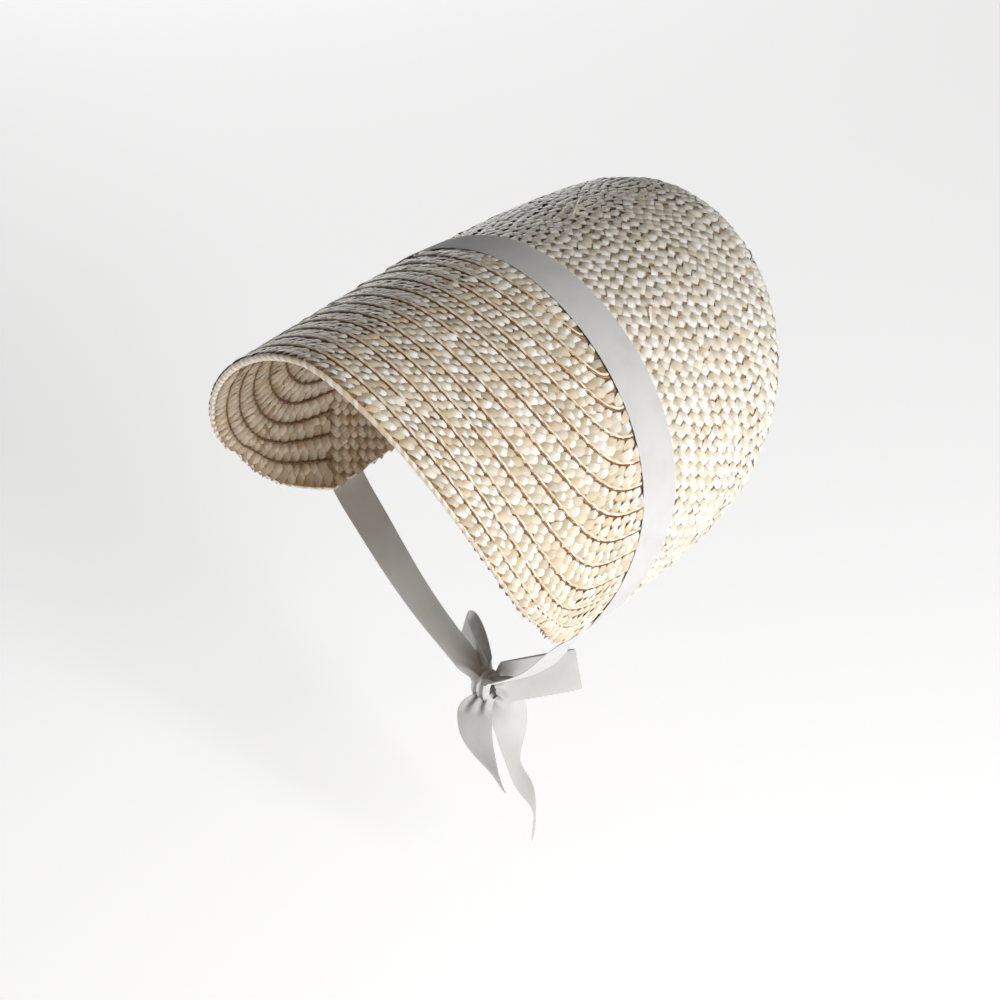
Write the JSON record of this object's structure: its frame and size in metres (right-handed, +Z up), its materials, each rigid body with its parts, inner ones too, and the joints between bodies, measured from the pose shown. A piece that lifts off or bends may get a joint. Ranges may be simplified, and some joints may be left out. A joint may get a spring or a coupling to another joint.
{
  "type": "straw bonnet",
  "caption": "Straw bonnet with a deep wrap-around plaited brim, a flat-backed woven crown and a ribbon tied in a bow under the chin.",
  "frame": {"origin": "inside of the crown's top, on the middle line, where the bonnet sits on the head", "axes": "+Z up, -Y the way the face looks, +X the wearer's left"},
  "size_m": [0.2226, 0.2626, 0.3491],
  "materials": {
    "crown_straw": "glossy split wheat straw, flush-sewn diagonal weave",
    "brim_straw": "glossy wheat straw plait in overlapping rows",
    "ribbon": "matt off-white cotton tape"
  },
  "bodies": {
    "root": {"crown": "crown_straw", "brim": "brim_straw", "ribbon_band": "ribbon", "tie_left": "ribbon", "tie_right": "ribbon", "bow_knot": "ribbon", "bow_loop_left": "ribbon", "bow_loop_right": "ribbon", "tail_left": "ribbon", "tail_right": "ribbon"}
  },
  "joints": []
}
